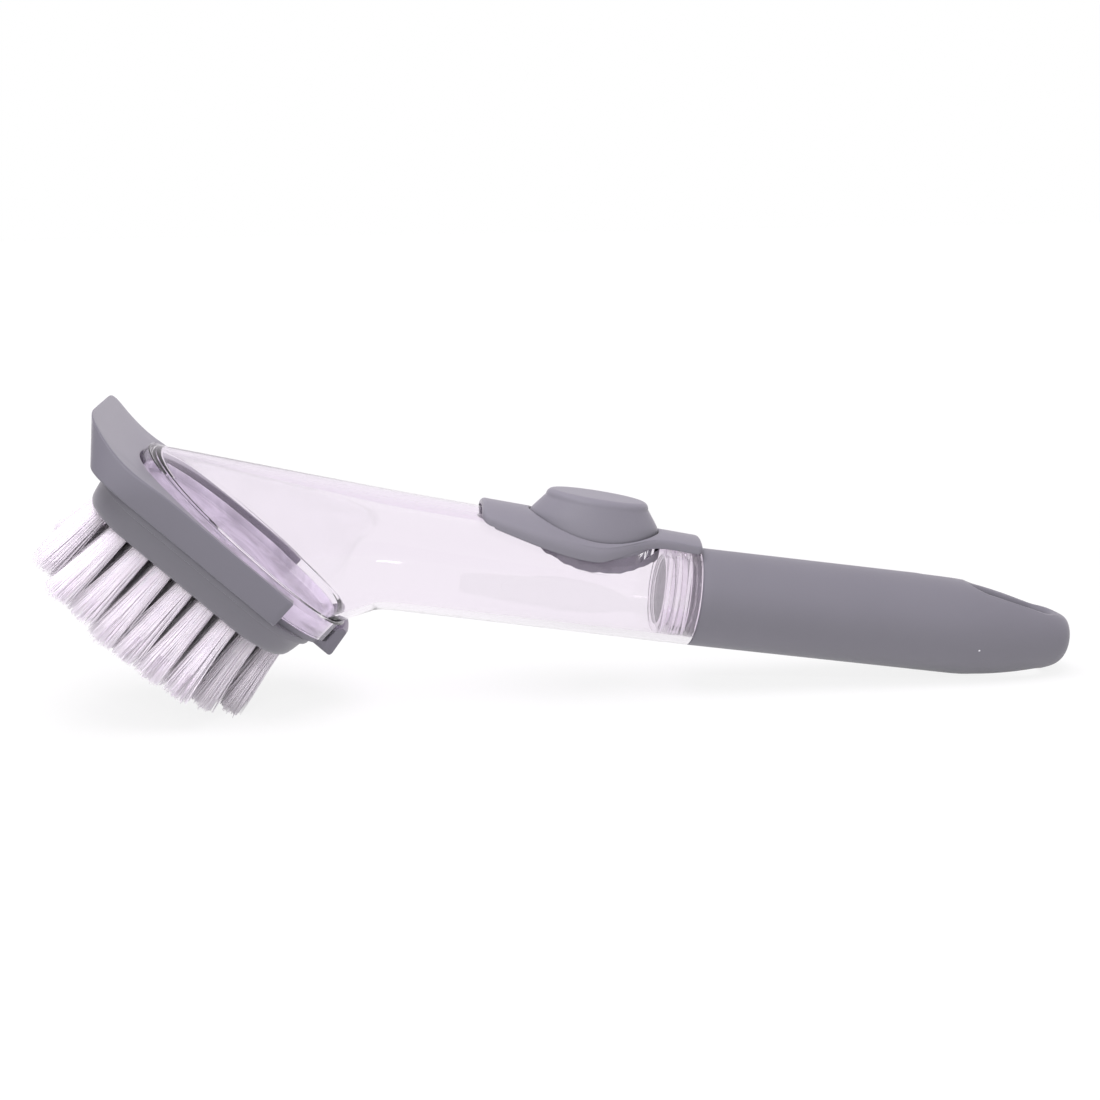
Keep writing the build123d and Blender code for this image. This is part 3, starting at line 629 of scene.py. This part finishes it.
draw = np.random.default_rng(7)
rag_turns = np.linspace(0, 2 * np.pi, 61)
ragged = np.interp(ring_turns, rag_turns, draw.uniform(-0.35, 0.25, 61), period=2 * np.pi)
plug_rows = []
for grow, drop, rag in (
    (0.3, -0.2, 0),
    (0.3, 6.2, 1),
    (0.75, 6.45, 1),
    (1.2, 6.3, 1),
    (1.2, 1.6, 0),
    (1.2, -0.2, 0),
):
    a, y = button_oval(grow)
    height = saddle_height(a, y, cap_top) - drop - plug_hang - rag * rag_hang - rag * ragged
    plug_rows.append(on_barrel(a, y, height))
cap_sheets = [(np.array(cap_rows), True, True), (np.array(plug_rows), True, True)]
cap = build("filler_cap_saddle", cap_sheets, cap_grey, 50.0)
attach(cap, "filler_cap")
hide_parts("filler_cap")
refinish("button_membrane", cap_grey)

# Pump button: a grey rubber dome with slanted sides and a flat oval top, soft at its edges.
# It is a hollow shell that stands in the cap's well, and its foot follows the saddle below the cap.
button_grey = soft_rubber("button_rubber", colour=(0.165, 0.161, 0.184), roughness=0.45)
button_foot, button_base, button_top, button_wall, button_edge = 8.0, 11.6, 22.1, 1.4, 1.8
button_seat, button_skirt = 1.8, 2.0
flare_half_length, top_half_length, top_half_width = 20.2, 11.9, 7.4


def button_halves(height):
    """Half length and width: the lesser of the well's and of the slanted cone's, softly joined."""
    share = (height - button_base) / (button_top - button_base)
    cone_long = flare_half_length + share * (top_half_length - flare_half_length)
    cone_wide = button_half_width + share * (top_half_width - button_half_width) + 0.1
    return soft_min(button_half_length, cone_long, 0.4), soft_min(button_half_width, cone_wide, 0.3)


def button_ring(height, inset):
    """Along and across of the dome's oval at a height, drawn in by an inset."""
    half_length, half_width = button_halves(height)
    return (half_length - inset) * np.cos(ring_turns), (half_width - inset) * np.sin(ring_turns)


def button_row(height, inset):
    """Ring of the dome at a height, but not below the foot on the saddle."""
    a, y = button_ring(height, inset)
    foot = saddle_height(a, y, button_seat) - button_skirt
    return on_barrel(a, y, np.maximum(height, foot))


roof, shoulder_height = button_top - button_wall, button_top - button_edge
button_rows = [on_barrel(ring_turns * 0, ring_turns * 0, roof)]
button_rows += [button_row(height, button_wall) for height in np.linspace(roof, button_foot, 16)]
button_rows += [button_row(height, 0.0) for height in np.linspace(button_foot, shoulder_height, 30)]
for turn in np.linspace(0, np.pi / 2, 9)[1:]:
    a, y = button_ring(shoulder_height, button_edge * (1 - np.cos(turn)))
    button_rows.append(on_barrel(a, y, button_top - button_edge * (1 - np.sin(turn))))
for share in (0.7, 0.4, 0.0):
    button_rows.append(on_barrel(a * share, y * share, button_top))
button = build("button_dome", [(np.array(button_rows), True, False)], button_grey, 50.0)
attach(button, "pump_button")
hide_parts("pump_button")

# Scraper frame: grey plastic band round the clear foot, its front drawn up to a scraping edge.
# Its arms are cut off square at the rear, and its thin floor lies between the base and the block.
frame_grey = soft_rubber(
    "frame_plastic", colour=(0.128, 0.125, 0.146), roughness=0.40, speck_height=0.75
)
scraper_reach, scraper_height, arm_end, floor_thickness = 44.0, 9.6, 21.0, 1.4
arm_height, arm_half_width, front_columns = 7.3, 25.0, 12
frame_bore_length, frame_bore_width, bore_mix_start, bore_mix_run = 32.75, 23.45, 20.0, 30.0
corner_width, corner_smoothing, tail_step = 5.0, 12, 0.2
floor_hole, floor_back_start, floor_back_run = 7.3, 8.0, 10.0
floor_half_length, floor_half_width, floor_back_length, floor_back_width = 33.4, 24.1, 31.0, 21.7


def soft_corners(corners, radii, steps):
    """Rounds each corner of closed rows of points: a quadratic curve from r before it to r behind,
    (1 - t)^2 A + 2 t (1 - t) B + t^2 C."""
    before, after = np.roll(corners, 1, axis=1), np.roll(corners, -1, axis=1)
    t = np.linspace(0, 1, steps)[None, None, :, None]
    radii = np.asarray(radii)[None, :, None] * mm

    def towards(other):
        way = other - corners
        length = np.linalg.norm(way, axis=-1, keepdims=True)
        return corners + way / np.maximum(length, 1e-9) * np.minimum(radii, 0.48 * length)

    start, end = towards(before)[:, :, None], towards(after)[:, :, None]
    curve = (1 - t) ** 2 * start + 2 * t * (1 - t) * corners[:, :, None] + t**2 * end
    return curve.reshape(len(corners), -1, 3)


def band_top(u):
    """Height of the band's top: down from the scraping edge to a dip, then level on the arms."""
    knots, slopes = (-scraper_reach, -28.0, -16.0, 30.0), (-0.35, 0.03, 0, 0)
    return eased(u, knots, (scraper_height, 6.5, arm_height, arm_height), slopes)


def band_side(front, front_half, bend, bend_half, bend_slope, corner_slope, shoulder):
    """Half outline of a band level, from the arm's end to the middle of the front."""
    arm, cheek = np.linspace(arm_end, shoulder, 24), np.linspace(shoulder, -front, 36)
    u = np.concatenate([arm, cheek[1:]])
    y = eased(
        u,
        (-front, -bend, shoulder, arm_end),
        (front_half, bend_half, arm_half_width, arm_half_width),
        (corner_slope, bend_slope, 0, 0),
    )
    across_front = np.linspace(front_half, 0, front_columns + 1)[1:]
    return np.concatenate([u, [-front] * front_columns]), np.concatenate([y, across_front])


rim_u, rim_y = band_side(
    front=35.7,
    front_half=20.5,
    bend=32.0,
    bend_half=23.8,
    bend_slope=0.42,
    corner_slope=1.5,
    shoulder=-24.0,
)
lip_u, lip_y = band_side(
    front=scraper_reach,
    front_half=18.0,
    bend=33.7,
    bend_half=21.9,
    bend_slope=0.27,
    corner_slope=0.6,
    shoulder=-17.0,
)
edge_v = np.full_like(rim_u, arm_height)
for _ in range(20):
    edge_v = band_top(rim_u + (lip_u - rim_u) * edge_v / scraper_height)
edge_u = rim_u + (lip_u - rim_u) * edge_v / scraper_height
edge_y = rim_y + (lip_y - rim_y) * edge_v / scraper_height
radial = np.arctan2(rim_y / frame_bore_width, -(rim_u - skirt_middle) / frame_bore_length)
level = np.arcsin(np.clip(-(rim_u - skirt_middle) / frame_bore_length, -1, 1))
mix = np.clip((rim_u + bore_mix_start) / bore_mix_run, 0, 1)
mix = mix * mix * (3 - 2 * mix)
bore_turn = (1 - mix) * (np.pi / 2 - radial) + mix * level
bore_y, forward = oval(frame_bore_length, frame_bore_width, 0, bore_turn)
bore_u = skirt_middle - forward
side_rows = []
for side in (-1, 1):
    corners = [head(rim_u, side * rim_y, 0.0 * rim_u), head(edge_u, side * edge_y, edge_v)]
    for share in (0.25, 0.5, 0.75, 1.0):
        u, y = edge_u + share * (bore_u - edge_u), edge_y + share * (bore_y - edge_y)
        corners.append(head(u, side * y, band_top(u)))
    corners.append(head(bore_u, side * bore_y, 0.0 * rim_u))
    side_rows.append(np.stack(corners, axis=1))
band = np.concatenate([side_rows[0], side_rows[1][-2::-1]])
corner_row = len(rim_u) - front_columns
steps = np.arange(1, len(band) - 1)
near = np.exp(-(((steps - corner_row) / corner_width) ** 2))
near = near + np.exp(-(((steps - len(band) + corner_row + 1) / corner_width) ** 2))
for _ in range(corner_smoothing):
    bend = (band[2:] + band[:-2]) / 2 - band[1:-1]
    band[1:-1] += 0.5 * near[:, None, None] * bend
band = soft_corners(band, (0.6, 0.7, 3.0, 3.0, 3.0, 0.6, 0.1), 6)


def square_end(row, way):
    """Closes a tube flat: the last ring steps in by a tenth and meets in its middle."""
    middle = row.mean(axis=0)
    return [row, middle + 0.9 * (row - middle) + way, np.broadcast_to(middle + way, row.shape)]


tail_way = (head(1.0, 0.0, 0.0) - head(0.0, 0.0, 0.0)) * tail_step
band[0] -= tail_way
band[-1] -= tail_way
near_end, far_end = square_end(band[0], tail_way)[::-1], square_end(band[-1], tail_way)
band = np.concatenate([near_end, band[1:-1], far_end])

floor_across, floor_forward = oval(floor_half_length, floor_half_width, 0, ring_turns)
back_across, back_forward = oval(floor_back_length, floor_back_width, 0, ring_turns)
behind = np.clip((-floor_forward - floor_back_start) / floor_back_run, 0, 1)
floor_across = floor_across + behind * (back_across - floor_across)
floor_forward = floor_forward + behind * (back_forward - floor_forward)
floor_rows = [
    boss_ring(floor_hole, 0.0),
    boss_ring(floor_hole, floor_thickness),
    head(skirt_middle - floor_forward, floor_across, floor_thickness),
    head(skirt_middle - floor_forward, floor_across, 0.0),
]
scraper_sheets = [(band, True, False), (np.array(floor_rows), True, True)]
scraper = build("scraper_band", scraper_sheets, frame_grey, 40.0)


def box_cutter(name, u_low, half_width, v_low, v_high):
    """Plain box in the head's own directions that runs out past the heel."""
    u_high = 45.0
    u, y = np.array([u_low, u_high, u_high, u_low]), half_width * np.array([-1, -1, 1, 1])
    middle, none = np.full(4, (u_low + u_high) / 2), np.zeros(4)
    rows = [head(middle, none, v_low), head(u, y, v_low), head(u, y, v_high)]
    rows.append(head(middle, none, v_high))
    return build(name, [(np.array(rows), True, False)], frame_grey)


cut(scraper, box_cutter("latch_gap", 14.0, 8.9, -2.0, 4.0), 40.0)
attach(scraper, "brush_head")
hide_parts("scraper_frame")

# Release latch: a springy tongue of the same grey plastic in the frame's floor.
# A finger wall behind the clear heel ends in a rounded wedge below.
half_tongue, latch_root, latch_sag, latch_top, latch_edge = 8.5, 14.05, 0.7, 6.8, 0.3
heel_gap, latch_wall_top, latch_wall_foot, latch_side_share = 0.4, 2.1, 3.0, 0.93
tongue_y = np.linspace(-half_tongue + latch_edge, half_tongue - latch_edge, 31)
tongue_y = np.concatenate([[-half_tongue], tongue_y, [half_tongue]])


def heel(growth):
    """u of the clear heel's outline, grown, at each y of the tongue: L (1 - |y / W|^n)^(1/n)."""
    width = np.abs(tongue_y) / (skirt_half_width + growth)
    reach = (1 - width**rear_fullness) ** (1 / rear_fullness)
    return skirt_middle + (skirt_half_length + growth) * reach


root = np.full_like(tongue_y, latch_root)
latch = np.stack(
    [
        head(root, tongue_y, -latch_sag),
        head(root, tongue_y, floor_thickness),
        head(heel(heel_gap), tongue_y, floor_thickness),
        head(heel(heel_gap), tongue_y, latch_top),
        head(heel(latch_wall_top), tongue_y, latch_top),
        head(heel(latch_wall_foot), tongue_y, -latch_sag),
    ],
    axis=1,
)
latch = soft_corners(latch, (0.3, 0.3, 0.5, 0.7, 0.7, 1.1), 7)
for row in (0, -1):
    middle = latch[row].mean(axis=0)
    for axis in (0, 2):
        reach = latch[row, :, axis] - middle[axis]
        latch[row, :, axis] = middle[axis] + latch_side_share * reach
ends = [np.broadcast_to(latch[row].mean(axis=0), latch[row].shape)[None] for row in (0, -1)]
latch = np.concatenate([ends[0], latch, ends[1]])
tongue = build("latch_tab", [(latch, True, False)], frame_grey, 50.0)
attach(tongue, "latch")
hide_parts("latch_tongue")

# Brush block: darker grey plastic, rounded like the foot, clipped under the frame.
# A thin lip stands out round its top, and a channel leaves room for the latch to spring down.
block_grey = soft_rubber(
    "block_plastic", colour=(0.128, 0.126, 0.142), roughness=0.42, speck_height=0.75
)
block_front, block_rear, block_half_width, block_depth = 31.6, 31.4, 22.6, 8.0
front_corner_radius, rear_corner_radius = 12.0, 17.0
lip_rows = ((0.6, 0), (0.9, -0.1), (1.0, -0.4), (1.0, -1.4), (0.9, -1.7), (0.6, -1.8))
wall_rows = ((0.15, -1.85), (0.0, -2.1), (-0.2, -3.5), (-0.5, -5.2), (-0.8, -6.4))
foot_rows = ((-1.15, -7.2), (-1.6, -7.7), (-2.2, -7.95), (-2.8, -block_depth))


def block_ring(growth, v):
    """Rounded rectangle at height v: quarter arcs in front and behind, all grown alike."""
    turns = np.linspace(0, np.pi / 2, 30)
    u, y = [], []
    for front, side in ((False, 1), (True, 1), (True, -1), (False, -1)):
        radius = (front_corner_radius if front else rear_corner_radius) + growth
        reach = (block_front if front else block_rear) + growth - radius
        wide = block_half_width + growth - radius
        order = turns if front == (side < 0) else turns[::-1]
        u.append((-1 if front else 1) * (reach + radius * np.cos(order)))
        y.append(side * (wide + radius * np.sin(order)))
    return head(np.concatenate(u), np.concatenate(y), v)


block_rows = [block_ring(growth, v) for growth, v in lip_rows + wall_rows + foot_rows]
none = np.zeros(len(block_rows[0]))
block_rows = [head(none, none, 0)] + block_rows + [head(none, none, -block_depth)]
block = build("brush_back", [(np.array(block_rows), True, False)], block_grey, 50.0)
cut(block, box_cutter("latch_room", 13.6, 8.9, -3.3, 2.0), 50.0)
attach(block, "brush_head")
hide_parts("brush_block")

# Bristles: white nylon filaments set in round tufts, each held by a flat staple.
# The filaments spread a little, end unevenly and lean together at their tips.
tuft_pitch_long, tuft_pitch_wide, strands_per_tuft = 6.7, 6.0, 170
tuft_reach_rear, tuft_reach_front, tuft_reach_wide, outlet_clear = 28.5, 31.0, 22.0, 3.1
tuft_radius, tip_spread, tip_splay, golden_turn = 2.3, 3.9, 1.08, 2.399963
bristle_root, bristle_tip, bristle_crown, tip_dish, strand_radius = -7.6, -30.8, 3.2, 0.5, 0.2
tuft_lean, strand_lean, tuft_uneven, strand_uneven = 0.35, 0.28, 0.3, 0.35
long_places, wide_places = np.meshgrid(
    np.arange(-4, 5) * tuft_pitch_long, np.arange(-3, 4) * tuft_pitch_wide, indexing="ij"
)
reach = np.where(long_places > 0, tuft_reach_rear, tuft_reach_front)
full = np.abs(long_places / reach) ** 2.4 + np.abs(wide_places / tuft_reach_wide) ** 2.4
kept = (full <= 1) & (np.hypot(long_places, wide_places) > outlet_clear)
tuft_u, tuft_y = long_places[kept], wide_places[kept]
tufts, count = len(tuft_u), len(tuft_u) * strands_per_tuft
draw = np.random.default_rng(11)
tuft = np.repeat(np.arange(tufts), strands_per_tuft)
order = np.tile(np.arange(strands_per_tuft), tufts)
ring, turn = np.sqrt((order + 0.5) / strands_per_tuft), order * golden_turn
turn = turn + draw.uniform(0, 6.28, tufts)[tuft]
root_u = tuft_u[tuft] + tuft_radius * ring * np.cos(turn)
root_y = tuft_y[tuft] + tuft_radius * ring * np.sin(turn)
lean = draw.normal(0, tuft_lean, (2, tufts))[:, tuft] + draw.normal(0, strand_lean, (2, count))
spread = tip_spread * ring
tip_u = tip_splay * tuft_u[tuft] + spread * np.cos(turn) + lean[0]
tip_y = tip_splay * tuft_y[tuft] + spread * np.sin(turn) + lean[1]
tip_v = bristle_tip + bristle_crown * (tuft_u[tuft] / tuft_reach_rear) ** 2
tip_v = tip_v + draw.normal(0, strand_uneven, count) + draw.normal(0, tuft_uneven, tufts)[tuft]
tip_v = tip_v + tip_dish * ring**2
along = np.array([0.0, 0.35, 0.7, 1.0])[:, None]
curve = along**1.2
path_u = root_u + (tip_u - root_u) * curve
path_y = root_y + (tip_y - root_y) * curve
path_v = bristle_root + (tip_v - bristle_root) * along
radius = strand_radius * np.array([1.0, 1.0, 0.9, 0.45])[:, None]
sides = np.arange(3) * 2 * np.pi / 3
strand = head(
    path_u[..., None] + radius[..., None] * np.cos(sides),
    path_y[..., None] + radius[..., None] * np.sin(sides),
    path_v[..., None] + 0 * sides,
)
strand = strand.transpose(1, 0, 2, 3)
low, high = np.array(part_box("bristles"))
strand = np.clip(strand, low + 1e-5, high - 1e-5)
index = np.arange(count * len(along) * 3).reshape(count, len(along), 3)
index = np.concatenate([index, index[:, :, :1]], axis=2)
corners = [index[:, :-1, :-1], index[:, :-1, 1:], index[:, 1:, 1:], index[:, 1:, :-1]]
quads, tips = np.stack(corners, axis=-1).reshape(-1, 4).tolist(), index[:, -1, :3].tolist()
bristle_mesh = bpy.data.meshes.new("bristle_tufts")
bristle_mesh.from_pydata(strand.reshape(-1, 3).tolist(), [], quads + tips)
smooth = np.ones(len(bristle_mesh.polygons), bool)
bristle_mesh.polygons.foreach_set("use_smooth", smooth)

bristle_white, tree, shader = new_material("bristle_nylon")
set_values(shader, {"Roughness": 0.4})
place = add(tree, "TexCoord")
streak = add(tree, "TexNoise", {"Scale": 420.0})
shades = {"A": (0.95, 0.92, 0.96, 1.0), "B": (1.0, 0.98, 1.0, 1.0)}
tint = add(tree, "Mix", shades, data_type="RGBA")
through = add(tree, "BsdfTranslucent")
blend = add(tree, "MixShader", {"Fac": 0.5})
rays = add(tree, "LightPath")
clear_share = add(tree, "Math", {1: 0.75}, operation="MULTIPLY")
passed = add(tree, "BsdfTransparent")
lit_through = add(tree, "MixShader")
wire(
    tree,
    (place, "Object", streak, "Vector"),
    (streak, "Fac", tint, "Factor"),
    (tint, "Result", shader, "Base Color"),
    (tint, "Result", through, "Color"),
    (shader, "BSDF", blend, 1),
    (through, "BSDF", blend, 2),
    (rays, "Is Shadow Ray", clear_share, 0),
    (clear_share, "Value", lit_through, "Fac"),
    (blend, "Shader", lit_through, 1),
    (passed, "BSDF", lit_through, 2),
    (lit_through, "Shader", tree.nodes["Material Output"], "Surface"),
)
bristle_mesh.materials.append(bristle_white)
bristles = show("bristle_tufts", bristle_mesh)
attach(bristles, "brush_head")
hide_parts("bristles")

# Small inner pieces: the valve disc in grey rubber, and the tufts' staples in flattened steel wire,
# pressed into the block.
staple_steel, tree, shader = new_material("staple_steel")
set_values(shader, {"Base Color": (0.6, 0.6, 0.6, 1.0), "Metallic": 1.0})
place = add(tree, "TexCoord")
rolled = add(tree, "TexNoise", {"Scale": 900.0})
worn = add(tree, "MapRange", {"To Min": 0.25, "To Max": 0.45})
wire(
    tree,
    (place, "Object", rolled, "Vector"),
    (rolled, "Fac", worn, "Value"),
    (worn, "Result", shader, "Roughness"),
)
refinish("outlet_valve", cap_grey)
refinish("tuft_staples", staple_steel)

# Studio: a pale floor and a white room, both seen as white by the camera and through the plastic.
# Broad soft lamps light it from above and in front, and a long narrow one draws the streak along
# the barrel.
floor_half = 3.0
floor_corners = [(-1, -1, 0), (1, -1, 0), (1, 1, 0), (-1, 1, 0)]
floor_mesh = bpy.data.meshes.new("studio_floor")
floor_mesh.from_pydata([Vector(c) * floor_half for c in floor_corners], [], [(0, 1, 2, 3)])
floor_white, tree, shader = new_material("studio_floor")
set_values(shader, {"Base Color": (0.82, 0.82, 0.82, 1.0), "Roughness": 0.9})
shown = ("Is Camera Ray", "Is Transmission Ray", "Is Glossy Ray")
place = add(tree, "TexCoord")
far = add(tree, "VectorMath", operation="LENGTH")
rise = add(tree, "MapRange", {"From Min": 0.2, "From Max": 0.8, "To Min": 1.0, "To Max": 1.15})
glow = add(tree, "Emission")
faint = add(tree, "Math", {1: 0.85}, operation="MULTIPLY")
blend = add(tree, "MixShader")
wire(
    tree,
    (place, "Object", far, 0),
    (far, "Value", rise, "Value"),
    (rise, "Result", glow, "Strength"),
    (any_ray(tree, *shown), "Value", faint, 0),
    (faint, "Value", blend, "Fac"),
    (shader, "BSDF", blend, 1),
    (glow, "Emission", blend, 2),
    (blend, "Shader", tree.nodes["Material Output"], "Surface"),
)
floor_mesh.materials.append(floor_white)
show("studio_floor", floor_mesh)

world = bpy.data.worlds.new("studio")
bpy.context.scene.world = world
world.use_nodes = True
tree = world.node_tree
rays = add(tree, "LightPath")
shades = {"A": (0.97, 0.92, 0.99, 1.0), "B": (1.0, 1.0, 1.0, 1.0)}
cast = add(tree, "Mix", shades, data_type="RGBA")
level = add(tree, "MapRange", {"To Min": 0.38, "To Max": 1.0})
wire(
    tree,
    (rays, "Is Camera Ray", cast, "Factor"),
    (cast, "Result", tree.nodes["Background"], "Color"),
    (any_ray(tree, *shown), "Value", level, "Value"),
    (level, "Result", tree.nodes["Background"], "Strength"),
)


def lamp(name, place, aim, size, power, colour=(1.0, 1.0, 1.0)):
    """Rectangular soft lamp at a place, turned to its aim."""
    light = bpy.data.lights.new(name, "AREA")
    light.shape = "RECTANGLE"
    light.size, light.size_y = size
    light.energy, light.color = power, colour
    lit = show(name, light)
    lit.location = place
    lit.rotation_euler = (Vector(aim) - Vector(place)).to_track_quat("-Z", "Y").to_euler()
    return lit


key = lamp(
    "key",
    place=(-0.1, -0.12, 0.8),
    aim=(0, 0, 0.04),
    size=(0.7, 0.5),
    power=8.5,
    colour=(1.0, 0.95, 1.02),
)
fill = lamp("fill", place=(-0.2, -0.9, 0.25), aim=(-0.03, 0, 0.03), size=(0.8, 0.5), power=2.5)
for lit in (key, fill):
    lit.visible_glossy = lit.visible_transmission = False
lamp("streak", place=(-0.13, -0.62, 0.55), aim=(-0.07, 0, 0.045), size=(0.3, 0.03), power=1.0)
